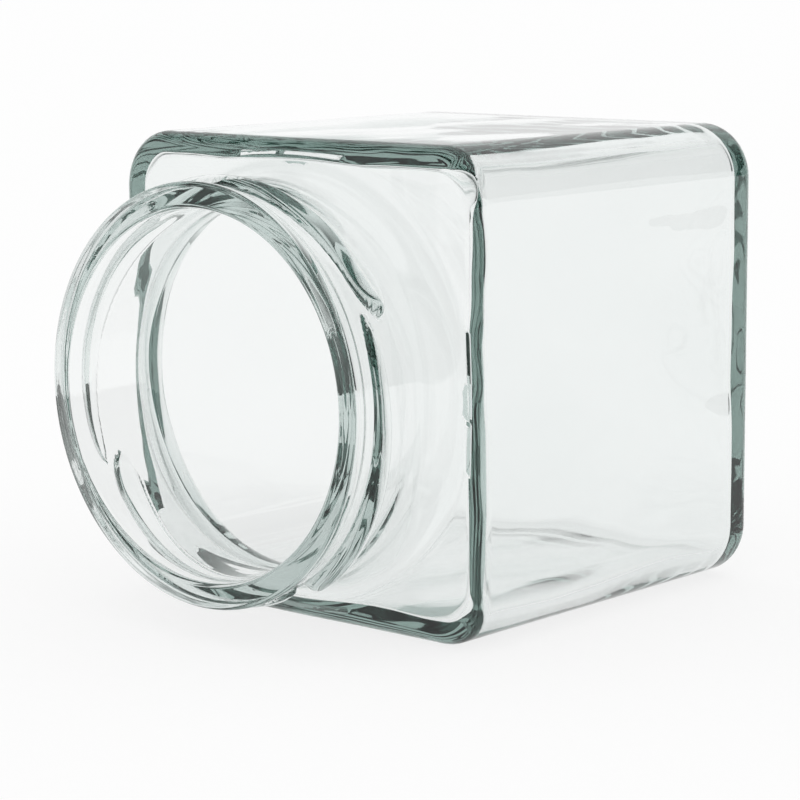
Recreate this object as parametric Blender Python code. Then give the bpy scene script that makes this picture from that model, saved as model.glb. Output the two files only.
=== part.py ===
"""Square glass jar with a round lug-thread neck, blown in one piece.

The jar is modelled upright on its own axis, with the bearing ring of its base
at zero height and the lip on top. It is then laid on one flat side with the
mouth towards -Y, the way it lies on a table. All lengths are in metres.
"""

import math

import bmesh
import bpy
from mathutils import Vector

# Outside of the body
BODY_WIDTH = 0.0600
BODY_LENGTH = 0.0566
CORNER_RADIUS = 0.0070
SHOULDER_RADIUS = 0.0021
HEEL_RADIUS = 0.0030

# Glass thickness and the inside of the body
SIDE_WALL = 0.0024
SHOULDER_WALL = 0.0019
BASE_WALL = 0.0019
CAVITY_CORNER_RADIUS = 0.0040
CAVITY_SHOULDER_RADIUS = 0.0005
CAVITY_HEEL_RADIUS = 0.0014

# Extra glass in the middle of each side and under it in the base, as blowing leaves it
SIDE_SWELL = 0.0007
BASE_SWELL = 0.0005

# Underside of the base
BEARING_WIDTH = 0.0020
PUSH_UP_HEIGHT = 0.0009
PUSH_UP_CORNER_RADIUS = 0.0110

# Neck and mouth
NECK_HEIGHT = 0.0167
NECK_DIAMETER = 0.0498
NECK_FILLET_RADIUS = 0.0046
BORE_DIAMETER = 0.0450
BORE_FLARE_RADIUS = 0.0056
LIP_DIAMETER = 0.0515
LIP_BEAD_LENGTH = 0.0028
LIP_LAND_WIDTH = 0.0020

# Interrupted right-hand thread for a twist-off lid
LUG_COUNT = 4
LUG_RISE = 0.0016
LUG_START_DEPTH = 0.0047
LUG_FALL = 0.0028
LUG_START_WIDTH = 0.0014
LUG_END_WIDTH = 0.0044
LUG_FLANK_WIDTH = 0.0020
LUG_LENGTH_ANGLE = math.radians(91)
LUG_FIRST_ANGLE = math.radians(27)
LUG_RUN_OUT_ANGLE = math.radians(12)

# Smoothness: points round one eighth of the jar, and steps along its curves
SIDE_STEPS = 9
CORNER_STEPS = 3
ARC_STEPS = 4
BEAD_STEPS = 2
THREAD_STEPS = 20
PUSH_UP_STEPS = 4
QUARTERS = 4

QUARTER_TURN = math.pi / 2
EIGHTH_TURN = math.pi / 4
FULL_TURN = 2 * math.pi

GLASS_COLOUR = (0.86, 0.93, 0.91, 1.0)
GLASS_IOR = 1.52
GLASS_ROUGHNESS = 0.02


def ease(share):
    """Smooth step from 0 to 1."""
    share = min(max(share, 0), 1)
    return share * share * (3 - 2 * share)


def arc_shares(steps=ARC_STEPS):
    """Even shares of a curve from 0 to 1, both ends included."""
    return [step / steps for step in range(steps + 1)]


def arc_turns(steps=ARC_STEPS):
    """Angles from zero to a quarter turn, both ends included."""
    return [QUARTER_TURN * share for share in arc_shares(steps)]


def ring_turns():
    """Angles of the points round every ring, closer together at the body's corners."""
    half = BODY_WIDTH / 2
    corner_start = math.atan2(half - CORNER_RADIUS, half)
    eighth = [corner_start * step / SIDE_STEPS for step in range(SIDE_STEPS)]
    for step in range(CORNER_STEPS):
        eighth.append(corner_start + (EIGHTH_TURN - corner_start) * step / CORNER_STEPS)
    quarter = eighth + [EIGHTH_TURN] + [QUARTER_TURN - turn for turn in reversed(eighth[1:])]
    return [QUARTER_TURN * index + turn for index in range(QUARTERS) for turn in quarter]


def square_reach(turn, half, corner_radius):
    """Distance from the axis to a square with round corners, at one angle."""
    large = max(abs(math.cos(turn)), abs(math.sin(turn)))
    small = min(abs(math.cos(turn)), abs(math.sin(turn)))
    flat = half - corner_radius
    if half * small <= flat * large:
        return half / large
    return flat * (large + small) + math.sqrt(corner_radius**2 - (flat * (large - small))**2)


def side_middle(turn):
    """1 at the middle of each side, falling smoothly to 0 at the corners."""
    return math.cos(2 * turn)**2


def ring(reach, height):
    """One ring of the loft. Both rules give a length for an angle round the jar."""
    points = []
    for turn in ring_turns():
        radius = reach(turn)
        points.append(Vector((radius * math.cos(turn), radius * math.sin(turn), height(turn))))
    return points


def level_circle(radius, height):
    """A round ring at one height."""
    return ring(lambda turn: radius, lambda turn: height)


def level_square(half, corner_radius, height):
    """A square ring with round corners at one height."""
    return ring(lambda turn: square_reach(turn, half, corner_radius), lambda turn: height)


def underside_rings():
    """The shallow push-up of the base, down to the inner edge of its flat bearing ring."""
    reach = BODY_WIDTH / 2 - HEEL_RADIUS - BEARING_WIDTH
    rings = []
    for step in range(1, PUSH_UP_STEPS + 1):
        share = step / PUSH_UP_STEPS
        height = PUSH_UP_HEIGHT * (1 - ease(share))
        rings.append(level_square(reach * share, PUSH_UP_CORNER_RADIUS * share, height))
    return rings


def heel_rings():
    """The bearing ring's outer edge and the round heel up to the side walls."""
    rings = []
    for turn in arc_turns():
        inset = HEEL_RADIUS * (1 - math.sin(turn))
        height = HEEL_RADIUS * (1 - math.cos(turn))
        rings.append(level_square(BODY_WIDTH / 2 - inset, CORNER_RADIUS - inset, height))
    return rings


def shoulder_rings(neck_radius, side, height, neck_curve, edge_curve):
    """Rings from a round neck out to the sides: one curve, a flat shoulder, one curve back.

    Where a side comes too close to the neck for both curves, each of them
    stops early, and they meet in one slope. It leads inwards where the neck is
    wider than that side.
    """
    def last_arc(turn):
        room = abs(side(turn) - neck_radius)
        return math.acos(1 - min(1, room / (neck_curve + edge_curve)))

    def outwards(turn):
        return math.copysign(1, side(turn) - neck_radius)

    def meeting_height(turn):
        return height + neck_curve * (1 - math.sin(last_arc(turn)))

    rings = []
    for share in arc_shares():
        rings.append(ring(
            lambda turn: neck_radius + outwards(turn) * neck_curve * (
                1 - math.cos(last_arc(turn) * share)),
            lambda turn: height + neck_curve * (1 - math.sin(last_arc(turn) * share))))
    for share in reversed(arc_shares()):
        rings.append(ring(
            lambda turn: side(turn) - outwards(turn) * edge_curve * (
                1 - math.cos(last_arc(turn) * share)),
            lambda turn: meeting_height(turn) - edge_curve * (
                math.sin(last_arc(turn)) - math.sin(last_arc(turn) * share))))
    return rings


def lug_rise(turn, depth):
    """How far the thread stands out of the neck, at an angle and a depth under the lip.

    Each lug starts narrow near the mouth, falls away from it clockwise as seen
    from the mouth, first slowly and then faster, and grows wider up to its
    round end below the start of the next lug. Its flanks are round like a bead.
    """
    spacing = FULL_TURN / LUG_COUNT
    first = (LUG_FIRST_ANGLE - turn) % spacing
    rise = 0
    for along in (first, first + spacing):
        if along < LUG_LENGTH_ANGLE:
            share = along / LUG_LENGTH_ANGLE
            centre = LUG_START_DEPTH + LUG_FALL * share**2
            width = LUG_START_WIDTH + (LUG_END_WIDTH - LUG_START_WIDTH) * share
            to_end = min(along, LUG_LENGTH_ANGLE - along)
            rounding = max(0, 1 - to_end / LUG_RUN_OUT_ANGLE)
            half_width = width / 2 * math.sqrt(1 - rounding**2)
            flank = min(max((half_width - abs(depth - centre)) / LUG_FLANK_WIDTH, 0), 1)
            rise = max(rise, LUG_RISE * math.sqrt(flank * (2 - flank)))
    return rise


def thread_rings():
    """The outside of the neck with its lugs, from below the thread up to the lip bead."""
    top = LIP_BEAD_LENGTH
    bottom = LUG_START_DEPTH + LUG_FALL + LUG_END_WIDTH / 2
    rings = []
    for step in range(THREAD_STEPS + 1):
        depth = bottom + (top - bottom) * step / THREAD_STEPS
        rings.append(ring(
            lambda turn: NECK_DIAMETER / 2 + lug_rise(turn, depth),
            lambda turn: BODY_LENGTH + NECK_HEIGHT - depth))
    return rings


def lip_rings():
    """The round bead of the lip, its flat sealing land and the edge into the bore."""
    top = BODY_LENGTH + NECK_HEIGHT
    land_middle = (LIP_DIAMETER / 2 + BORE_DIAMETER / 2) / 2
    land_outer = land_middle + LIP_LAND_WIDTH / 2
    land_inner = land_middle - LIP_LAND_WIDTH / 2
    bead_rise = LIP_DIAMETER / 2 - NECK_DIAMETER / 2
    crown = LIP_DIAMETER / 2 - land_outer
    roll = land_inner - BORE_DIAMETER / 2
    rings = []
    for arc in arc_turns(BEAD_STEPS)[1:]:
        height = top - LIP_BEAD_LENGTH + (LIP_BEAD_LENGTH - crown) * arc / QUARTER_TURN
        rings.append(level_circle(NECK_DIAMETER / 2 + bead_rise * math.sin(arc), height))
    for arc in arc_turns()[1:]:
        radius = land_outer + crown * math.cos(arc)
        rings.append(level_circle(radius, top - crown * (1 - math.sin(arc))))
    for arc in arc_turns():
        radius = land_inner - roll * math.sin(arc)
        rings.append(level_circle(radius, top - roll * (1 - math.cos(arc))))
    return rings


def cavity_side(turn):
    """Distance from the axis to the inner wall, which swells inwards in mid-side."""
    reach = square_reach(turn, BODY_WIDTH / 2 - SIDE_WALL, CAVITY_CORNER_RADIUS)
    return reach - SIDE_SWELL * side_middle(turn)


def cavity_rings():
    """The inside below the bore: flare, shoulder, walls, heel and floor."""
    rings = shoulder_rings(
        BORE_DIAMETER / 2, cavity_side, BODY_LENGTH - SHOULDER_WALL,
        BORE_FLARE_RADIUS, CAVITY_SHOULDER_RADIUS)
    floor = PUSH_UP_HEIGHT + BASE_WALL
    for arc in arc_turns():
        inset = CAVITY_HEEL_RADIUS * (1 - math.cos(arc))
        rise = CAVITY_HEEL_RADIUS * (1 - math.sin(arc))
        rings.append(ring(
            lambda turn: cavity_side(turn) - inset,
            lambda turn: floor + rise + BASE_SWELL * side_middle(turn)))
    for step in range(1, PUSH_UP_STEPS):
        share = 1 - step / PUSH_UP_STEPS
        rings.append(ring(
            lambda turn: (cavity_side(turn) - CAVITY_HEEL_RADIUS) * share,
            lambda turn: floor + BASE_SWELL * side_middle(turn) * ease(share)))
    return rings


def jar_rings():
    """All rings in one chain, from the middle of the underside over the lip to the floor."""
    shoulder = shoulder_rings(
        NECK_DIAMETER / 2, lambda turn: square_reach(turn, BODY_WIDTH / 2, CORNER_RADIUS),
        BODY_LENGTH, NECK_FILLET_RADIUS, SHOULDER_RADIUS)
    outside = underside_rings() + heel_rings() + shoulder[::-1]
    return outside + thread_rings() + lip_rings() + cavity_rings()


def close_end(mesh, corners, centre_height, facing_down):
    """Fan of triangles that closes the first or the last ring."""
    centre = mesh.verts.new((0, 0, centre_height))
    for corner, following in zip(corners, corners[1:] + corners[:1]):
        mesh.faces.new((centre, following, corner) if facing_down else (centre, corner, following))


def loft(rings, first_height, last_height):
    """One closed mesh through a chain of rings, with both ends closed."""
    mesh = bmesh.new()
    loops = [[mesh.verts.new(point) for point in points] for points in rings]
    for lower, upper in zip(loops, loops[1:]):
        lower_next = lower[1:] + lower[:1]
        upper_next = upper[1:] + upper[:1]
        for corners in zip(lower, lower_next, upper_next, upper):
            mesh.faces.new(corners)
    close_end(mesh, loops[0], first_height, True)
    close_end(mesh, loops[-1], last_height, False)
    return mesh


def glass_material():
    """Clear soda glass with a faint green tint."""
    material = bpy.data.materials.new("clear_glass")
    material.use_nodes = True
    shader = material.node_tree.nodes["Principled BSDF"]
    shader.inputs["Base Color"].default_value = GLASS_COLOUR
    shader.inputs["Roughness"].default_value = GLASS_ROUGHNESS
    shader.inputs["IOR"].default_value = GLASS_IOR
    shader.inputs["Transmission Weight"].default_value = 1.0
    return material


def make_jar():
    """The jar, upright, laid on its side and centred over the origin."""
    mesh = loft(jar_rings(), PUSH_UP_HEIGHT, PUSH_UP_HEIGHT + BASE_WALL)
    data = bpy.data.meshes.new("glass_jar")
    mesh.to_mesh(data)
    mesh.free()
    data.shade_smooth()
    data.materials.append(glass_material())
    jar = bpy.data.objects.new("glass_jar", data)
    jar.rotation_euler = (QUARTER_TURN, 0, 0)
    jar.location = (0, (BODY_LENGTH + NECK_HEIGHT) / 2, BODY_WIDTH / 2)
    bpy.context.collection.objects.link(jar)
    return jar


def main():
    """Empty the scene, then build the jar."""
    for item in list(bpy.data.objects):
        bpy.data.objects.remove(item, do_unlink=True)
    make_jar()


main()
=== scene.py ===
"""Square glass jar lying on its side, with the floor, light and camera of a product picture.

The jar is one piece of blown glass. Its walls are a loft of rings, made upright
with the base at zero height and the lip on top. Geometry Nodes then press the
thread lugs, the mould seam and the unevenness of blown glass into it, and lay
it on one flat side with the mouth towards -Y.
"""

import math

import bpy
import numpy as np
from bpy.props import FloatProperty, FloatVectorProperty, IntProperty, PointerProperty
from mathutils import Matrix, Vector


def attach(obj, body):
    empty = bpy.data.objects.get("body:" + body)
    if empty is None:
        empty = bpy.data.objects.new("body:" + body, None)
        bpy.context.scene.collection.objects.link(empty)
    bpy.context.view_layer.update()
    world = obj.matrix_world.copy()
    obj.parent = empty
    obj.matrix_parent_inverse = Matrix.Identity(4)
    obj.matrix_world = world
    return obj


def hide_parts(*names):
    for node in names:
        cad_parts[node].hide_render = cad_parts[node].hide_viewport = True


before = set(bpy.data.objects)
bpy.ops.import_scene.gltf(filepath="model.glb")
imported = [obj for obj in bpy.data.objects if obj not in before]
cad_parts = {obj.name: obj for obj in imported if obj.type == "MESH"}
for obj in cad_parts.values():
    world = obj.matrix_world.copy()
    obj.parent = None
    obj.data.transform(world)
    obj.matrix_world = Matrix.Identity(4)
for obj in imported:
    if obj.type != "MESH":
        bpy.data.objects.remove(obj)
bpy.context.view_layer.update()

bl_info = {
    "name": "Square glass jar",
    "version": (1, 0, 0),
    "blender": (4, 5, 0),
    "location": "3D View > Sidebar > Glass jar",
    "description": "A square glass jar with a lug thread, lying in a plain white studio",
    "category": "Add Mesh",
}

QUARTER_TURN = math.pi / 2
EIGHTH_TURN = math.pi / 4
FULL_TURN = 2 * math.pi

# Points round one eighth of the jar, and steps along its curves
QUARTERS = 4
SIDE_STEPS = 30
CORNER_STEPS = 16
ARC_STEPS = 10
NECK_STEPS = 8
THREAD_STEPS = 64
BORE_STEPS = 20
OUTER_WALL_STEPS = 10
INNER_WALL_STEPS = 20
FLOOR_STEPS = 22

# How closely the extra rounding under the shoulder keeps to the corners
CORNER_FOCUS = 40

# Seeds of the noise, and how far its waves are squeezed along the jar's axis
BLOWN_SEED, BLOWN_SQUEEZE = 3.0, 0.6
DRAG_SEED, DRAG_SQUEEZE = 2.0, 6.0
RING_SEED, RING_SQUEEZE = 4.0, 15.0
WRINKLE_SEED, PARTING_SEED = 5.0, 8.0
NO_SQUEEZE = 1.0
RING_DETAIL = 3.0
WAVE_ROUGHNESS = 0.35
PARTING_GAPS = (-0.5, 0.3)

# Lengths over which the seam and the waves fade in
SHOULDER_FADE = (0.0, 0.0030)
HEEL_FADE = (0.0015, 0.0045)
BASE_FADE = (0.0, 0.0040)
LIP_FADE = (0.0030, 0.0090)
BORE_FADE = (0.0010, 0.0030)

# Ripples and smudges on the glass, and grain of the floor
RIPPLE_DETAIL = 2.0
SMUDGE_DETAIL = 3.0
SMUDGE_SHARE = 0.35
SMUDGE_RANGE = (0.5, 0.75)
GRAIN_SCALE = 30.0
GRAIN_TONE = 0.985

# Soft edge of the light panels, and how high the low part of the dark room reaches
PANEL_EDGE = 0.1
ROOM_RISE = 0.5

# Picture, floor and paths of light
PICTURE_WIDTH = 800
SENSOR_WIDTH = 36
NEAREST_SEEN = 0.01
AIM_DEPTH_SHARE = 0.35
FLOOR_REACH = 12.0
FLOOR_DROP = 0.0002
LIGHT_BOUNCES = 64


def length(name, description, default):
    """A length that a user can change."""
    return FloatProperty(name=name, description=description, default=default,
                         subtype="DISTANCE", unit="LENGTH", precision=5)


def angle(name, description, degrees):
    """An angle that a user can change."""
    return FloatProperty(name=name, description=description, default=math.radians(degrees),
                         subtype="ANGLE")


def share(name, description, default):
    """A share from 0 to 1."""
    return FloatProperty(name=name, description=description, default=default,
                         min=0, max=1, subtype="FACTOR")


def number(name, description, default):
    """A plain number."""
    return FloatProperty(name=name, description=description, default=default, precision=3)


def colour(name, description, default):
    """A linear colour without alpha."""
    return FloatVectorProperty(name=name, description=description, default=default,
                               subtype="COLOR", size=3, min=0, max=1)


class JarBody(bpy.types.PropertyGroup):
    """Sizes of the square body and its glass."""
    width: length("Width", "Across the flat sides", 0.0600)
    height: length("Length", "From the base to the shoulder", 0.0566)
    corner_radius: length("Corner radius", "Long edges of the body", 0.0070)
    shoulder_radius: length("Shoulder radius", "Edge between shoulder and sides", 0.0021)
    heel_radius: length("Heel radius", "Edge between base and sides", 0.0026)
    side_wall: length("Side wall", "Glass in the sides", 0.0028)
    shoulder_wall: length("Shoulder wall", "Glass in the shoulder", 0.0019)
    base_wall: length("Base wall", "Glass in the base", 0.0023)
    cavity_corner_radius: length("Inner corner radius", "Long edges inside", 0.0040)
    cavity_shoulder_radius: length("Inner shoulder radius", "Edge under the shoulder", 0.0005)
    cavity_heel_radius: length("Inner heel radius", "Edge round the floor", 0.0014)
    corner_gather: length("Corner gather", "Extra rounding in the corners there", 0.0008)
    side_swell: length("Side swell", "Extra glass in the middle of each side", 0.0003)
    base_swell: length("Base swell", "Extra glass at mid-side of the floor", 0.0)
    bearing_width: length("Bearing width", "Flat ring under the base", 0.0020)
    push_up: length("Push-up", "Height of the hollow under the base", 0.0003)
    push_up_corner_radius: length("Push-up corner radius", "Round corners of it", 0.0110)


class JarNeck(bpy.types.PropertyGroup):
    """Sizes of the neck, lip and lug thread."""
    height: length("Height", "From the shoulder to the lip", 0.0167)
    diameter: length("Diameter", "Across the plain neck", 0.0498)
    fillet_radius: length("Fillet radius", "Neck to shoulder", 0.0046)
    bore: length("Bore", "Across the mouth", 0.0450)
    flare_reach: length("Flare reach", "How far the flare under the bore opens out", 0.0040)
    flare_depth: length("Flare depth", "Length of that flare along the bore", 0.0056)
    lip_diameter: length("Lip diameter", "Across the lip bead", 0.0515)
    bead_length: length("Bead length", "Length of the lip bead", 0.0028)
    land_width: length("Land width", "Flat ring on top of the lip", 0.0020)
    lugs: IntProperty(name="Lugs", description="Thread lugs round the neck", default=4, min=1)
    lug_rise: length("Lug rise", "How far a lug stands out", 0.0016)
    lug_depth: length("Lug depth", "Start of a lug under the lip", 0.0047)
    lug_fall: length("Lug fall", "How far a lug falls to its tip", 0.0028)
    lug_start_width: length("Lug start width", "Width where a lug starts", 0.0014)
    lug_end_width: length("Lug end width", "Width just before its tip", 0.0044)
    lug_flank: length("Lug flank", "Width of a lug's round edge", 0.0020)
    lug_length: angle("Lug length", "Turn that one lug takes", 91)
    lug_first: angle("First lug", "Where the first lug starts", 27)
    lug_run_out: angle("Run-out", "Turn in which a lug's end rounds off", 12)
    parting_rise: length("Parting rise", "Height of the line under the lip bead", 0.00008)
    parting_width: length("Parting width", "Half the width of that line", 0.0003)
    parting_grain: length("Parting grain", "Length of the pieces that it is broken into", 0.0016)


class GlassLook(bpy.types.PropertyGroup):
    """Finish of the glass."""
    tint: colour("Tint", "What the glass lets through", (0.133, 0.333, 0.283))
    tint_density: number("Tint density", "Strength of the tint for each metre", 27)
    ior: number("IOR", "Bending of light in soda glass", 1.5)
    seam_rise: length("Seam rise", "Height of the mould seam", 0.00004)
    seam_width: length("Seam width", "Width of the mould seam", 0.0004)
    inner_wave: length("Inner wave", "Unevenness of the blown inside", 0.00050)
    outer_wave: length("Outer wave", "Unevenness of the moulded outside", 0.00003)
    wave_size: length("Wave size", "Size of one wave", 0.0120)
    bore_wave: length("Bore wave", "Drags on the inside of the neck", 0.00010)
    bore_rings: length("Bore rings", "Fine rings that the plunger leaves in the bore", 0.00040)
    ring_size: length("Ring size", "From one fine ring to the next", 0.0035)
    lug_wave: length("Lug wave", "Wrinkles of the pressed lugs", 0.00008)
    wrinkle_size: length("Wrinkle size", "Size of one such wrinkle", 0.0035)
    ripple_scale: number("Ripple scale", "Fine ripples in each metre", 120)
    ripple_depth: length("Ripple depth", "Depth of the fine ripples", 0.000012)
    haze: share("Haze", "Roughness of the faint smudges", 0.012)


class StudioLook(bpy.types.PropertyGroup):
    """Floor, light and dark room of the studio, and the view."""
    floor: colour("Floor", "Colour of the floor", (0.97, 0.97, 0.97))
    floor_glow: share("Floor glow", "Share of plain white in the floor that the camera sees", 0.8)
    white: colour("White", "Backdrop and light panels", (1.0, 1.0, 1.0))
    dark: colour("Dark room", "Unlit room round the backdrop", (0.10, 0.12, 0.112))
    dark_low: colour("Dark base", "The room near the floor", (0.04, 0.05, 0.046))
    dark_start: number("Dark start", "Where the backdrop ends, -1 is right behind the jar", -0.75)
    dark_end: number("Dark end", "Where the room is fully dark", -0.30)
    side_light: number("Side light", "Where the light panel on the left starts, 1 is square left",
                       0.80)
    top_light: number("Top light", "Where the light panel overhead starts, 1 is straight up", 0.75)
    azimuth: angle("View azimuth", "Turn of the camera round the jar", 41.244)
    pitch: angle("View pitch", "Downward tilt of the camera", 9.2383)
    roll: angle("View roll", "Roll of the camera", -0.3662)
    focal_pixels: number("Focal length", "In pixels of an 800 pixel picture", 2714.016)
    distance: number("Distance", "From the aim point, in body widths", 5.8508)
    shift_right: number("Shift right", "In body widths", -0.0112)
    shift_up: number("Shift up", "In body widths", -0.0828)


# The loft of the jar, upright

def arc_angles():
    """Angles from zero to a quarter turn."""
    return [QUARTER_TURN * step / ARC_STEPS for step in range(ARC_STEPS + 1)]


def ease(value):
    """Smooth step from 0 to 1."""
    value = min(max(value, 0), 1)
    return value * value * (3 - 2 * value)


def ring_angles(body):
    """Angles of the points round every ring, closer together at the body's corners."""
    half = body.width / 2
    corner_start = math.atan2(half - body.corner_radius, half)
    flat = np.linspace(0, corner_start, SIDE_STEPS, endpoint=False)
    corner = np.linspace(corner_start, EIGHTH_TURN, CORNER_STEPS + 1)
    eighth = np.concatenate([flat, corner])
    quarter = np.concatenate([eighth, QUARTER_TURN - eighth[-2:0:-1]])
    return np.concatenate([quarter + QUARTER_TURN * index for index in range(QUARTERS)])


class Loft:
    """A chain of rings round the jar's axis, and the marks that the nodes read on them."""

    def __init__(self, body, neck):
        self.body = body
        self.neck = neck
        self.turns = ring_angles(body)
        self.rings = []
        self.marks = {"thread_band": [], "inner_wall": [], "bore_wall": []}

    def add(self, reach, height, thread=0.0, inside=0.0, bore=0.0):
        """One ring. Reach and height are lengths, or arrays with one for each angle."""
        reach = np.broadcast_to(reach, self.turns.shape)
        height = np.broadcast_to(height, self.turns.shape)
        points = np.stack([reach * np.cos(self.turns), reach * np.sin(self.turns), height], 1)
        self.rings.append(points)
        self.marks["thread_band"].append(thread)
        self.marks["inner_wall"].append(inside)
        self.marks["bore_wall"].append(bore)

    def square(self, half, corner_radius):
        """Distance from the axis to a square with round corners, for each angle."""
        large = np.maximum(abs(np.cos(self.turns)), abs(np.sin(self.turns)))
        small = np.minimum(abs(np.cos(self.turns)), abs(np.sin(self.turns)))
        flat = half - corner_radius
        inside_root = np.maximum(corner_radius**2 - (flat * (large - small))**2, 0)
        corner = flat * (large + small) + np.sqrt(inside_root)
        return np.where(half * small <= flat * large, half / large, corner)

    def side_middle(self):
        """1 at the middle of each side, falling smoothly to 0 at the corners."""
        return np.cos(2 * self.turns)**2

    def underside(self):
        """The push-up of the base and its flat bearing ring."""
        body = self.body
        reach = body.width / 2 - body.heel_radius - body.bearing_width
        for step in range(1, FLOOR_STEPS + 1):
            part = step / FLOOR_STEPS
            half = self.square(reach * part, body.push_up_corner_radius * part)
            self.add(half, body.push_up * (1 - ease(part)))

    def outside(self):
        """The heel, the side walls and the shoulder up to the neck."""
        body = self.body
        for arc in arc_angles():
            inset = body.heel_radius * (1 - math.sin(arc))
            half = self.square(body.width / 2 - inset, body.corner_radius - inset)
            self.add(half, body.heel_radius * (1 - math.cos(arc)))
        side = self.square(body.width / 2, body.corner_radius)
        top = body.height - body.shoulder_radius
        for step in range(1, OUTER_WALL_STEPS):
            self.add(side, body.heel_radius + (top - body.heel_radius) * step / OUTER_WALL_STEPS)
        neck = self.neck
        rings = self.shoulder(neck.diameter / 2, side, body.height,
                              neck.fillet_radius, neck.fillet_radius, body.shoulder_radius)
        for reach, height in reversed(rings):
            self.add(reach, height)

    def shoulder(self, neck_radius, side, height, neck_round, neck_depth, edge_round):
        """Rings from a round neck out to the sides: one curve, a flat shoulder, one curve back.

        Where a side comes too close to the neck for both curves, each of them
        stops early, and they meet in one slope.
        """
        room = side - neck_radius
        last = np.arccos(1 - np.minimum(1, room / (neck_round + edge_round)))
        joint = height + neck_depth * (1 - np.sin(last))
        rings = []
        for arc in arc_angles():
            turn = last * arc / QUARTER_TURN
            rings.append((neck_radius + neck_round * (1 - np.cos(turn)),
                          height + neck_depth * (1 - np.sin(turn))))
        for arc in arc_angles():
            turn = last * (1 - arc / QUARTER_TURN)
            rings.append((side - edge_round * (1 - np.cos(turn)),
                          joint - edge_round * (np.sin(last) - np.sin(turn))))
        return rings

    def neck_outside(self):
        """The plain neck where the nodes raise the lugs, and the lip."""
        neck = self.neck
        top = self.body.height + neck.height
        start = self.body.height + neck.fillet_radius
        end = top - neck.bead_length
        low = top - neck.lug_depth - neck.lug_fall - neck.lug_end_width / 2
        for step in range(1, NECK_STEPS + 1):
            self.add(neck.diameter / 2, start + (low - start) * step / NECK_STEPS, thread=1.0)
        for step in range(1, THREAD_STEPS + 1):
            self.add(neck.diameter / 2, low + (end - low) * step / THREAD_STEPS, thread=1.0)
        land_middle = (neck.lip_diameter / 2 + neck.bore / 2) / 2
        land_outer = land_middle + neck.land_width / 2
        land_inner = land_middle - neck.land_width / 2
        bead_rise = neck.lip_diameter / 2 - neck.diameter / 2
        crown = neck.lip_diameter / 2 - land_outer
        roll = land_inner - neck.bore / 2
        for arc in arc_angles()[1:]:
            height = end + (neck.bead_length - crown) * arc / QUARTER_TURN
            self.add(neck.diameter / 2 + bead_rise * ease(arc / QUARTER_TURN), height)
        for arc in arc_angles()[1:]:
            self.add(land_outer + crown * math.cos(arc), top - crown * (1 - math.sin(arc)))
        for arc in arc_angles():
            self.add(land_inner - roll * math.sin(arc), top - roll * (1 - math.cos(arc)))

    def cavity_side(self):
        """Distance from the axis to the inner wall, which swells inwards in mid-side."""
        body = self.body
        reach = self.square(body.width / 2 - body.side_wall, body.cavity_corner_radius)
        return reach - body.side_swell * self.side_middle()

    def inner(self):
        """The bore, the flare under it, the walls inside and the floor."""
        body = self.body
        neck = self.neck
        ceiling = body.height - body.shoulder_wall
        bore_end = ceiling + neck.flare_depth
        bore_start = self.rings[-1][0, 2]
        for step in range(1, BORE_STEPS):
            height = bore_start + (bore_end - bore_start) * step / BORE_STEPS
            self.add(neck.bore / 2, height, inside=step / BORE_STEPS, bore=1.0)
        side = self.cavity_side()
        corner_gather = body.corner_gather * (1 - self.side_middle())**CORNER_FOCUS
        rings = self.shoulder(neck.bore / 2, side, ceiling, neck.flare_reach, neck.flare_depth,
                              body.cavity_shoulder_radius + corner_gather)
        for index, (reach, height) in enumerate(rings):
            self.add(reach, height, inside=1.0, bore=max(0.0, 1 - index / ARC_STEPS))
        floor = body.push_up + body.base_wall
        wall_top = self.rings[-1][:, 2]
        rise = body.base_swell * self.side_middle()
        wall_bottom = floor + body.cavity_heel_radius + rise
        for step in range(1, INNER_WALL_STEPS):
            part = step / INNER_WALL_STEPS
            height = wall_top + (wall_bottom - wall_top) * part
            self.add(side, height, inside=1.0)
        for arc in arc_angles():
            inset = body.cavity_heel_radius * (1 - math.cos(arc))
            height = floor + rise + body.cavity_heel_radius * (1 - math.sin(arc))
            self.add(side - inset, height, inside=1.0)
        for step in range(1, FLOOR_STEPS):
            part = 1 - step / FLOOR_STEPS
            reach = (side - body.cavity_heel_radius) * part
            self.add(reach, floor + rise * ease(part), inside=1.0)

    def mesh(self, name):
        """The closed mesh through all rings, with one point in the middle of each end."""
        self.underside()
        self.outside()
        self.neck_outside()
        self.inner()
        count = len(self.turns)
        points = np.concatenate(self.rings)
        ends = np.array([[0, 0, self.body.push_up],
                         [0, 0, self.body.push_up + self.body.base_wall]])
        points = np.concatenate([points, ends])
        column = np.arange(count)
        following = (column + 1) % count
        faces = []
        for index in range(len(self.rings) - 1):
            low = index * count
            high = low + count
            faces += np.stack([low + column, low + following,
                               high + following, high + column], 1).tolist()
        first, last = len(points) - 2, len(points) - 1
        top = (len(self.rings) - 1) * count
        faces += [[first, int(b), int(a)] for a, b in zip(column, following)]
        faces += [[last, int(top + a), int(top + b)] for a, b in zip(column, following)]
        mesh = bpy.data.meshes.new(name)
        mesh.from_pydata(points.tolist(), [], faces)
        for label, values in self.marks.items():
            layer = mesh.attributes.new(label, "FLOAT", "POINT")
            data = np.concatenate([np.repeat(values, count), [values[0], values[-1]]])
            layer.data.foreach_set("value", data.astype(np.float32))
        mesh.shade_smooth()
        return mesh


# Nodes

def link_value(tree, socket, value):
    """Link a socket, or set a number."""
    if isinstance(value, bpy.types.NodeSocket):
        tree.links.new(value, socket)
    else:
        socket.default_value = value


def maths(tree, operation, *values):
    """One math node and its result."""
    node = tree.nodes.new("ShaderNodeMath")
    node.operation = operation
    for socket, value in zip(node.inputs, values):
        link_value(tree, socket, value)
    return node.outputs[0]


def times(tree, *values):
    """Product of two or more values."""
    product = values[0]
    for value in values[1:]:
        product = maths(tree, "MULTIPLY", product, value)
    return product


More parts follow.
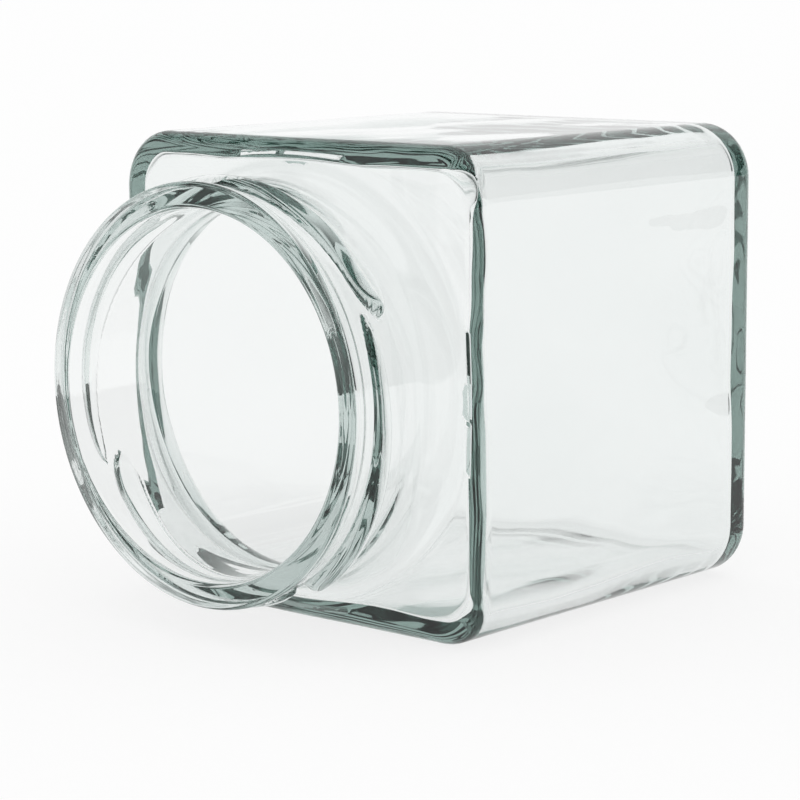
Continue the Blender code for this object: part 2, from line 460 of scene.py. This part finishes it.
def rest(tree, value):
    """What is left to 1."""
    return maths(tree, "SUBTRACT", 1.0, value)


def smooth_range(tree, value, low, high):
    """0 below low, 1 above high, with a smooth rise between them."""
    node = tree.nodes.new("ShaderNodeMapRange")
    node.interpolation_type = "SMOOTHSTEP"
    for name, item in (("Value", value), ("From Min", low), ("From Max", high)):
        link_value(tree, node.inputs[name], item)
    return node.outputs["Result"]


def dot(tree, vector, axis):
    """How far a vector points along a fixed axis."""
    node = tree.nodes.new("ShaderNodeVectorMath")
    node.operation = "DOT_PRODUCT"
    tree.links.new(vector, node.inputs[0])
    node.inputs[1].default_value = axis
    return node.outputs["Value"]


def named_float(tree, name):
    """A float attribute of the mesh."""
    node = tree.nodes.new("GeometryNodeInputNamedAttribute")
    node.data_type = "FLOAT"
    node.inputs["Name"].default_value = name
    return node.outputs["Attribute"]


def add_input(tree, name, kind, default=None):
    """A named input of a node group."""
    socket = tree.interface.new_socket(name, in_out="INPUT", socket_type=kind)
    if default is not None:
        socket.default_value = default


def lug_group():
    """Node group: how far one lug stands out, for a turn along it and a depth under the lip."""
    tree = bpy.data.node_groups.new("One thread lug", "GeometryNodeTree")
    for name in ("Along", "Depth", "Start depth", "Fall", "Length", "Run-out", "Start width",
                 "End width", "Flank", "Rise"):
        add_input(tree, name, "NodeSocketFloat", 0.0)
    tree.interface.new_socket("Height", in_out="OUTPUT", socket_type="NodeSocketFloat")
    start = tree.nodes.new("NodeGroupInput").outputs
    end = tree.nodes.new("NodeGroupOutput")
    part = maths(tree, "DIVIDE", start["Along"], start["Length"])
    fall = times(tree, start["Fall"], part, part)
    centre = maths(tree, "ADD", start["Start depth"], fall)
    growth = maths(tree, "SUBTRACT", start["End width"], start["Start width"])
    width = maths(tree, "ADD", start["Start width"], times(tree, growth, part))
    left = maths(tree, "SUBTRACT", start["Length"], start["Along"])
    to_end = maths(tree, "DIVIDE", maths(tree, "MINIMUM", start["Along"], left), start["Run-out"])
    missing = rest(tree, maths(tree, "MINIMUM", to_end, 1.0))
    rounding = rest(tree, times(tree, missing, missing))
    rounding = maths(tree, "SQRT", maths(tree, "MAXIMUM", rounding, 0.0))
    half = times(tree, width, 0.5, rounding)
    from_centre = maths(tree, "ABSOLUTE", maths(tree, "SUBTRACT", start["Depth"], centre))
    to_edge = maths(tree, "SUBTRACT", half, from_centre)
    flank = maths(tree, "DIVIDE", to_edge, start["Flank"])
    flank = maths(tree, "MINIMUM", maths(tree, "MAXIMUM", flank, 0.0), 1.0)
    bulge = maths(tree, "SQRT", times(tree, flank, maths(tree, "SUBTRACT", 2.0, flank)))
    tree.links.new(times(tree, start["Rise"], bulge), end.inputs["Height"])
    return tree


def noise_wave(tree, position, size, squeeze, seed, detail=1.0):
    """Smooth noise from -1 to 1, with waves of one size, squeezed along the jar's axis."""
    squeezed = tree.nodes.new("ShaderNodeVectorMath")
    squeezed.operation = "MULTIPLY"
    tree.links.new(position, squeezed.inputs[0])
    squeezed.inputs[1].default_value = (1.0, 1.0, squeeze)
    noise = tree.nodes.new("ShaderNodeTexNoise")
    noise.noise_dimensions = "4D"
    noise.inputs["Detail"].default_value = detail
    noise.inputs["Roughness"].default_value = WAVE_ROUGHNESS
    noise.inputs["W"].default_value = seed
    tree.links.new(maths(tree, "DIVIDE", 1.0, size), noise.inputs["Scale"])
    tree.links.new(squeezed.outputs[0], noise.inputs["Vector"])
    return times(tree, maths(tree, "SUBTRACT", noise.outputs["Fac"], 0.5), 2.0)


class JarFinish:
    """Geometry Nodes that press lugs, seam and waves into the loft, then lay the jar down."""

    SIZES = ("Total length", "Body length", "Body width", "Lugs", "Lug rise", "Lug depth",
             "Lug fall", "Lug length", "Lug start width", "Lug end width", "Lug flank",
             "First lug", "Run-out", "Bead length", "Parting rise", "Parting width",
             "Parting grain", "Seam rise", "Seam width", "Inner wave", "Outer wave",
             "Wave size", "Bore wave", "Bore rings", "Ring size", "Lug wave", "Wrinkle size")

    def __init__(self, material):
        tree = bpy.data.node_groups.new("Jar finish", "GeometryNodeTree")
        add_input(tree, "Geometry", "NodeSocketGeometry")
        for name in self.SIZES:
            add_input(tree, name, "NodeSocketFloat", 0.0)
        tree.interface.new_socket("Geometry", in_out="OUTPUT", socket_type="NodeSocketGeometry")
        self.tree = tree
        self.sizes = tree.nodes.new("NodeGroupInput").outputs
        self.position = tree.nodes.new("GeometryNodeInputPosition").outputs[0]
        split = tree.nodes.new("ShaderNodeSeparateXYZ")
        tree.links.new(self.position, split.inputs[0])
        self.x, self.y, self.height = split.outputs
        self.depth = maths(tree, "SUBTRACT", self.sizes["Total length"], self.height)
        self.inside = named_float(tree, "inner_wall")
        self.outside = rest(tree, self.inside)
        self.bore = named_float(tree, "bore_wall")
        reach = maths(tree, "ADD", maths(tree, "ADD", self.lugs(), self.parting_line()),
                      self.seam())
        pressed = self.press(reach, self.waves())
        end = tree.nodes.new("NodeGroupOutput")
        tree.links.new(self.lay_down(pressed, material), end.inputs[0])

    def lugs(self):
        """How far the lugs stand out of the neck, with the wrinkles on their crests."""
        tree, sizes = self.tree, self.sizes
        turn = maths(tree, "ARCTAN2", self.y, self.x)
        spacing = maths(tree, "DIVIDE", FULL_TURN, sizes["Lugs"])
        behind = maths(tree, "SUBTRACT", maths(tree, "ADD", sizes["First lug"], FULL_TURN), turn)
        first = maths(tree, "FLOORED_MODULO", behind, spacing)
        group = lug_group()
        heights = []
        for along in (first, maths(tree, "ADD", first, spacing)):
            lug = tree.nodes.new("GeometryNodeGroup")
            lug.node_tree = group
            for name, value in (
                    ("Along", along), ("Depth", self.depth), ("Start depth", sizes["Lug depth"]),
                    ("Fall", sizes["Lug fall"]), ("Length", sizes["Lug length"]),
                    ("Run-out", sizes["Run-out"]), ("Flank", sizes["Lug flank"]),
                    ("Start width", sizes["Lug start width"]),
                    ("End width", sizes["Lug end width"]), ("Rise", sizes["Lug rise"])):
                tree.links.new(value, lug.inputs[name])
            heights.append(lug.outputs["Height"])
        plain = times(tree, maths(tree, "MAXIMUM", *heights), named_float(tree, "thread_band"))
        wrinkle = noise_wave(tree, self.position, sizes["Wrinkle size"], NO_SQUEEZE, WRINKLE_SEED)
        wrinkle = times(tree, maths(tree, "SUBTRACT", wrinkle, 1.0), sizes["Lug wave"])
        crest = maths(tree, "DIVIDE", plain, sizes["Lug rise"])
        return maths(tree, "ADD", plain, times(tree, wrinkle, crest))

    def parting_line(self):
        """The broken line that the mould's neck ring leaves under the lip bead."""
        tree, sizes = self.tree, self.sizes
        from_line = maths(tree, "SUBTRACT", self.depth, sizes["Bead length"])
        from_line = maths(tree, "ABSOLUTE", from_line)
        line = rest(tree, smooth_range(tree, from_line, 0.0, sizes["Parting width"]))
        pieces = noise_wave(tree, self.position, sizes["Parting grain"], NO_SQUEEZE, PARTING_SEED)
        pieces = smooth_range(tree, pieces, *PARTING_GAPS)
        return times(tree, line, pieces, self.outside, sizes["Parting rise"])

    def seam(self):
        """The mould's seam along two opposite long corners of the body."""
        tree, sizes = self.tree, self.sizes
        from_seam = times(tree, maths(tree, "SUBTRACT", self.x, self.y), math.sqrt(0.5))
        from_seam = maths(tree, "ABSOLUTE", from_seam)
        line = rest(tree, smooth_range(tree, from_seam, 0.0, sizes["Seam width"]))
        to_shoulder = maths(tree, "SUBTRACT", sizes["Body length"], self.height)
        below_shoulder = smooth_range(tree, to_shoulder, *SHOULDER_FADE)
        above_heel = smooth_range(tree, self.height, *HEEL_FADE)
        return times(tree, line, below_shoulder, above_heel, self.outside, sizes["Seam rise"])

    def waves(self):
        """How far blowing and moulding move the surface along its normal.

        The outside only ever sinks below the moulded size, so that the jar
        keeps its box.
        """
        tree, sizes = self.tree, self.sizes
        quiet = times(tree, smooth_range(tree, self.height, *BASE_FADE),
                      smooth_range(tree, self.depth, *LIP_FADE))
        outer = times(tree, self.outside, quiet, sizes["Outer wave"])
        inner = times(tree, self.inside, rest(tree, self.bore), sizes["Inner wave"])
        amount = maths(tree, "ADD", inner, outer)
        wave = noise_wave(tree, self.position, sizes["Wave size"], BLOWN_SQUEEZE, BLOWN_SEED)
        wave = maths(tree, "SUBTRACT", times(tree, wave, amount),
                     times(tree, self.outside, amount))
        drags = noise_wave(tree, self.position, sizes["Wave size"], DRAG_SQUEEZE, DRAG_SEED)
        round_size = times(tree, sizes["Ring size"], RING_SQUEEZE)
        rings = noise_wave(tree, self.position, round_size, RING_SQUEEZE, RING_SEED, RING_DETAIL)
        marks = maths(tree, "ADD", times(tree, drags, sizes["Bore wave"]),
                      times(tree, rings, sizes["Bore rings"]))
        below_lip = smooth_range(tree, self.depth, *BORE_FADE)
        return maths(tree, "ADD", wave, times(tree, marks, self.bore, below_lip))

    def press(self, reach, wave):
        """Move each point away from the axis by one length and along its normal by another."""
        tree = self.tree
        flat = tree.nodes.new("ShaderNodeCombineXYZ")
        tree.links.new(self.x, flat.inputs["X"])
        tree.links.new(self.y, flat.inputs["Y"])
        outward = tree.nodes.new("ShaderNodeVectorMath")
        outward.operation = "NORMALIZE"
        tree.links.new(flat.outputs[0], outward.inputs[0])
        normal = tree.nodes.new("GeometryNodeInputNormal")
        offset = tree.nodes.new("ShaderNodeVectorMath")
        offset.operation = "ADD"
        for index, (direction, size) in enumerate(((normal, wave), (outward, reach))):
            scaled = tree.nodes.new("ShaderNodeVectorMath")
            scaled.operation = "SCALE"
            tree.links.new(direction.outputs[0], scaled.inputs[0])
            tree.links.new(size, scaled.inputs["Scale"])
            tree.links.new(scaled.outputs[0], offset.inputs[index])
        move = tree.nodes.new("GeometryNodeSetPosition")
        tree.links.new(self.sizes["Geometry"], move.inputs["Geometry"])
        tree.links.new(offset.outputs[0], move.inputs["Offset"])
        return move.outputs[0]

    def lay_down(self, geometry, material):
        """Turn the upright jar onto its side, centre it over the origin and paint it."""
        tree, sizes = self.tree, self.sizes
        lay = tree.nodes.new("GeometryNodeTransform")
        tree.links.new(geometry, lay.inputs["Geometry"])
        lay.inputs["Rotation"].default_value = (QUARTER_TURN, 0, 0)
        place = tree.nodes.new("ShaderNodeCombineXYZ")
        tree.links.new(times(tree, sizes["Total length"], 0.5), place.inputs["Y"])
        tree.links.new(times(tree, sizes["Body width"], 0.5), place.inputs["Z"])
        tree.links.new(place.outputs[0], lay.inputs["Translation"])
        real = tree.nodes.new("GeometryNodeRealizeInstances")
        tree.links.new(lay.outputs[0], real.inputs[0])
        paint = tree.nodes.new("GeometryNodeSetMaterial")
        paint.inputs["Material"].default_value = material
        tree.links.new(real.outputs[0], paint.inputs["Geometry"])
        return paint.outputs[0]


def set_inputs(modifier, values):
    """Set a Geometry Nodes modifier's inputs, by each socket's identifier."""
    for item in modifier.node_group.interface.items_tree:
        if item.item_type == "SOCKET" and item.in_out == "INPUT" and item.name in values:
            modifier[item.identifier] = values[item.name]


# Materials

def ripple_group():
    """Shader group: the fine unevenness of a fire-polished, moulded surface."""
    tree = bpy.data.node_groups.new("Glass ripple", "ShaderNodeTree")
    add_input(tree, "Vector", "NodeSocketVector")
    add_input(tree, "Scale", "NodeSocketFloat", 0.0)
    add_input(tree, "Haze", "NodeSocketFloat", 0.0)
    tree.interface.new_socket("Height", in_out="OUTPUT", socket_type="NodeSocketFloat")
    tree.interface.new_socket("Roughness", in_out="OUTPUT", socket_type="NodeSocketFloat")
    start = tree.nodes.new("NodeGroupInput").outputs
    end = tree.nodes.new("NodeGroupOutput")
    noise = tree.nodes.new("ShaderNodeTexNoise")
    noise.inputs["Detail"].default_value = RIPPLE_DETAIL
    tree.links.new(start["Vector"], noise.inputs["Vector"])
    tree.links.new(start["Scale"], noise.inputs["Scale"])
    tree.links.new(noise.outputs["Fac"], end.inputs["Height"])
    smudge = tree.nodes.new("ShaderNodeTexNoise")
    smudge.inputs["Detail"].default_value = SMUDGE_DETAIL
    tree.links.new(start["Vector"], smudge.inputs["Vector"])
    tree.links.new(times(tree, start["Scale"], SMUDGE_SHARE), smudge.inputs["Scale"])
    haze = times(tree, smooth_range(tree, smudge.outputs["Fac"], *SMUDGE_RANGE), start["Haze"])
    tree.links.new(haze, end.inputs["Roughness"])
    return tree


def glass_material(look):
    """Clear soda glass: sharp surface, faint ripple, green tint that grows with thickness."""
    material = bpy.data.materials.new("clear_glass")
    material.use_nodes = True
    tree = material.node_tree
    shader = tree.nodes["Principled BSDF"]
    shader.inputs["Base Color"].default_value = (1, 1, 1, 1)
    shader.inputs["IOR"].default_value = look.ior
    shader.inputs["Transmission Weight"].default_value = 1.0
    coordinates = tree.nodes.new("ShaderNodeTexCoord")
    ripple = tree.nodes.new("ShaderNodeGroup")
    ripple.node_tree = ripple_group()
    ripple.inputs["Scale"].default_value = look.ripple_scale
    ripple.inputs["Haze"].default_value = look.haze
    tree.links.new(coordinates.outputs["Object"], ripple.inputs["Vector"])
    tree.links.new(ripple.outputs["Roughness"], shader.inputs["Roughness"])
    bump = tree.nodes.new("ShaderNodeBump")
    bump.inputs["Strength"].default_value = 1.0
    bump.inputs["Distance"].default_value = look.ripple_depth
    tree.links.new(ripple.outputs["Height"], bump.inputs["Height"])
    tree.links.new(bump.outputs["Normal"], shader.inputs["Normal"])
    absorption = tree.nodes.new("ShaderNodeVolumeAbsorption")
    absorption.inputs["Color"].default_value = (*look.tint, 1)
    absorption.inputs["Density"].default_value = look.tint_density
    tree.links.new(absorption.outputs[0], tree.nodes["Material Output"].inputs["Volume"])
    return material


def floor_material(look):
    """Matt white floor. The camera and the glass see it nearly as white as the backdrop."""
    material = bpy.data.materials.new("studio_floor")
    material.use_nodes = True
    tree = material.node_tree
    shader = tree.nodes["Principled BSDF"]
    shader.inputs["Roughness"].default_value = 1.0
    shader.inputs["Specular IOR Level"].default_value = 0.0
    coordinates = tree.nodes.new("ShaderNodeTexCoord")
    grain = tree.nodes.new("ShaderNodeTexNoise")
    grain.inputs["Scale"].default_value = GRAIN_SCALE
    tree.links.new(coordinates.outputs["Object"], grain.inputs["Vector"])
    tone = tree.nodes.new("ShaderNodeMix")
    tone.data_type = "RGBA"
    tree.links.new(grain.outputs["Fac"], tone.inputs["Factor"])
    tone.inputs["A"].default_value = (*look.floor, 1)
    tone.inputs["B"].default_value = (*(channel * GRAIN_TONE for channel in look.floor), 1)
    tree.links.new(tone.outputs["Result"], shader.inputs["Base Color"])
    glow = tree.nodes.new("ShaderNodeEmission")
    glow.inputs["Color"].default_value = (*look.white, 1)
    path = tree.nodes.new("ShaderNodeLightPath")
    seen = maths(tree, "MAXIMUM", path.outputs["Is Camera Ray"], maths(
        tree, "MAXIMUM", path.outputs["Is Glossy Ray"], path.outputs["Is Transmission Ray"]))
    mix = tree.nodes.new("ShaderNodeMixShader")
    tree.links.new(times(tree, seen, look.floor_glow), mix.inputs[0])
    tree.links.new(shader.outputs[0], mix.inputs[1])
    tree.links.new(glow.outputs[0], mix.inputs[2])
    tree.links.new(mix.outputs[0], tree.nodes["Material Output"].inputs["Surface"])
    return material


def camera_axes(look):
    """Right, up and forward of the camera."""
    azimuth, pitch, roll = look.azimuth, look.pitch, look.roll
    forward = Vector((-math.sin(azimuth) * math.cos(pitch),
                      math.cos(azimuth) * math.cos(pitch), -math.sin(pitch)))
    level = Vector((math.cos(azimuth), math.sin(azimuth), 0))
    above = level.cross(forward)
    right = level * math.cos(roll) + above * math.sin(roll)
    up = above * math.cos(roll) - level * math.sin(roll)
    return right, up, forward


# Operators

class JAR_OT_set_camera(bpy.types.Operator):
    """Place the camera at the picture's viewpoint"""
    bl_idname = "glass_jar.set_camera"
    bl_label = "Camera"

    def execute(self, context):
        scene = context.scene
        look = scene.jar_studio
        width = scene.jar_body.width
        right, up, forward = camera_axes(look)
        total = scene.jar_body.height + scene.jar_neck.height
        shoulder = scene.jar_neck.height - total / 2
        aim = Vector((0, shoulder + AIM_DEPTH_SHARE * width, width / 2))
        aim += right * look.shift_right * width + up * look.shift_up * width
        place = aim - forward * look.distance * width
        data = bpy.data.cameras.new("picture_camera")
        data.sensor_width = SENSOR_WIDTH
        data.lens = data.sensor_width * look.focal_pixels / PICTURE_WIDTH
        data.clip_start = NEAREST_SEEN
        camera = bpy.data.objects.new("picture_camera", data)
        turned = Matrix((right, up, -forward)).transposed().to_4x4()
        camera.matrix_world = Matrix.Translation(place) @ turned
        scene.collection.objects.link(camera)
        scene.camera = camera
        return {"FINISHED"}


class JAR_OT_blow_jar(bpy.types.Operator):
    """Make the glass jar from its sizes"""
    bl_idname = "glass_jar.blow_jar"
    bl_label = "Glass jar"

    def execute(self, context):
        scene = context.scene
        body, neck, look = scene.jar_body, scene.jar_neck, scene.jar_glass
        loft = Loft(body, neck)
        raw = bpy.data.objects.new("jar_loft", loft.mesh("jar_loft"))
        scene.collection.objects.link(raw)
        modifier = raw.modifiers.new("Jar finish", "NODES")
        modifier.node_group = JarFinish(glass_material(look)).tree
        set_inputs(modifier, {
            "Total length": body.height + neck.height, "Body length": body.height,
            "Body width": body.width, "Lugs": float(neck.lugs), "Lug rise": neck.lug_rise,
            "Lug depth": neck.lug_depth, "Lug fall": neck.lug_fall,
            "Lug length": neck.lug_length, "Lug start width": neck.lug_start_width,
            "Lug end width": neck.lug_end_width, "Lug flank": neck.lug_flank,
            "First lug": neck.lug_first, "Run-out": neck.lug_run_out,
            "Bead length": neck.bead_length, "Parting rise": neck.parting_rise,
            "Parting width": neck.parting_width, "Parting grain": neck.parting_grain,
            "Seam rise": look.seam_rise, "Seam width": look.seam_width,
            "Inner wave": look.inner_wave, "Outer wave": look.outer_wave,
            "Wave size": look.wave_size, "Bore wave": look.bore_wave,
            "Bore rings": look.bore_rings, "Ring size": look.ring_size,
            "Lug wave": look.lug_wave, "Wrinkle size": look.wrinkle_size})
        context.view_layer.update()
        evaluated = raw.evaluated_get(context.evaluated_depsgraph_get())
        mesh = bpy.data.meshes.new_from_object(evaluated)
        mesh.name = "jar_glass"
        bpy.data.objects.remove(raw)
        if not mesh.polygons:
            raise RuntimeError("the jar came out empty")
        for label in loft.marks:
            mesh.attributes.remove(mesh.attributes[label])
        jar = bpy.data.objects.new("jar_glass", mesh)
        scene.collection.objects.link(jar)
        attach(jar, "root")
        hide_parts("glass_jar")
        return {"FINISHED"}


class JAR_OT_set_studio(bpy.types.Operator):
    """Make the floor and the soft light of the studio"""
    bl_idname = "glass_jar.set_studio"
    bl_label = "Floor and light"

    def execute(self, context):
        scene = context.scene
        look = scene.jar_studio
        corners = [(-FLOOR_REACH, -FLOOR_REACH, -FLOOR_DROP),
                   (FLOOR_REACH, -FLOOR_REACH, -FLOOR_DROP),
                   (FLOOR_REACH, FLOOR_REACH, -FLOOR_DROP),
                   (-FLOOR_REACH, FLOOR_REACH, -FLOOR_DROP)]
        mesh = bpy.data.meshes.new("studio_floor")
        mesh.from_pydata(corners, [], [(0, 1, 2, 3)])
        mesh.materials.append(floor_material(look))
        floor = bpy.data.objects.new("studio_floor", mesh)
        scene.collection.objects.link(floor)
        self.light_world(scene, look)
        scene.view_settings.view_transform = "Standard"
        # Light in the walls is reflected many times before it leaves the glass
        scene.cycles.max_bounces = LIGHT_BOUNCES
        scene.cycles.glossy_bounces = LIGHT_BOUNCES
        scene.cycles.transmission_bounces = LIGHT_BOUNCES
        return {"FINISHED"}

    def light_world(self, scene, look):
        """A white backdrop, light panels on the left and overhead, and a dark room round them.

        Rays that left a matt surface see white all round, as in a light tent.
        """
        world = bpy.data.worlds.new("studio_light")
        scene.world = world
        world.use_nodes = True
        tree = world.node_tree
        background = tree.nodes["Background"]
        coordinates = tree.nodes.new("ShaderNodeTexCoord")
        azimuth = look.azimuth
        direction = coordinates.outputs["Generated"]
        facing = dot(tree, direction, (math.sin(azimuth), -math.cos(azimuth), 0))
        left = dot(tree, direction, (-math.cos(azimuth), -math.sin(azimuth), 0))
        above = dot(tree, direction, (0, 0, 1))
        dark = smooth_range(tree, facing, look.dark_start, look.dark_end)
        panel = maths(tree, "MAXIMUM",
                      smooth_range(tree, left, look.side_light, look.side_light + PANEL_EDGE),
                      smooth_range(tree, above, look.top_light, look.top_light + PANEL_EDGE))
        dark = times(tree, dark, rest(tree, panel))
        mix = tree.nodes.new("ShaderNodeMix")
        mix.data_type = "RGBA"
        tree.links.new(dark, mix.inputs["Factor"])
        mix.inputs["A"].default_value = (*look.white, 1)
        room = tree.nodes.new("ShaderNodeMix")
        room.data_type = "RGBA"
        tree.links.new(smooth_range(tree, above, 0.0, ROOM_RISE), room.inputs["Factor"])
        room.inputs["A"].default_value = (*look.dark_low, 1)
        room.inputs["B"].default_value = (*look.dark, 1)
        tree.links.new(room.outputs["Result"], mix.inputs["B"])
        path = tree.nodes.new("ShaderNodeLightPath")
        diffuse = tree.nodes.new("ShaderNodeMix")
        diffuse.data_type = "RGBA"
        tree.links.new(path.outputs["Is Diffuse Ray"], diffuse.inputs["Factor"])
        tree.links.new(mix.outputs["Result"], diffuse.inputs["A"])
        diffuse.inputs["B"].default_value = (*look.white, 1)
        tree.links.new(diffuse.outputs["Result"], background.inputs["Color"])
        background.inputs["Strength"].default_value = 1.0


class JAR_PT_panel(bpy.types.Panel):
    """Sizes, colours and steps of the glass jar"""
    bl_idname = "JAR_PT_panel"
    bl_label = "Glass jar"
    bl_space_type = "VIEW_3D"
    bl_region_type = "UI"
    bl_category = "Glass jar"

    def draw(self, context):
        layout = self.layout
        for name in ("jar_body", "jar_neck", "jar_glass", "jar_studio"):
            group = getattr(context.scene, name)
            box = layout.box()
            for key in group.__annotations__:
                box.prop(group, key)
        for operator in (JAR_OT_set_camera, JAR_OT_blow_jar, JAR_OT_set_studio):
            layout.operator(operator.bl_idname)


CLASSES = (JarBody, JarNeck, GlassLook, StudioLook,
           JAR_OT_set_camera, JAR_OT_blow_jar, JAR_OT_set_studio, JAR_PT_panel)


def register():
    """Add the classes and the scene's settings."""
    for item in CLASSES:
        bpy.utils.register_class(item)
    bpy.types.Scene.jar_body = PointerProperty(type=JarBody)
    bpy.types.Scene.jar_neck = PointerProperty(type=JarNeck)
    bpy.types.Scene.jar_glass = PointerProperty(type=GlassLook)
    bpy.types.Scene.jar_studio = PointerProperty(type=StudioLook)


def unregister():
    """Take the classes and settings away again."""
    for name in ("jar_studio", "jar_glass", "jar_neck", "jar_body"):
        delattr(bpy.types.Scene, name)
    for item in reversed(CLASSES):
        bpy.utils.unregister_class(item)


def main():
    """Register the settings and run every step."""
    register()
    bpy.ops.glass_jar.set_camera()
    bpy.ops.glass_jar.blow_jar()
    bpy.ops.glass_jar.set_studio()


if __name__ == "__main__":
    main()
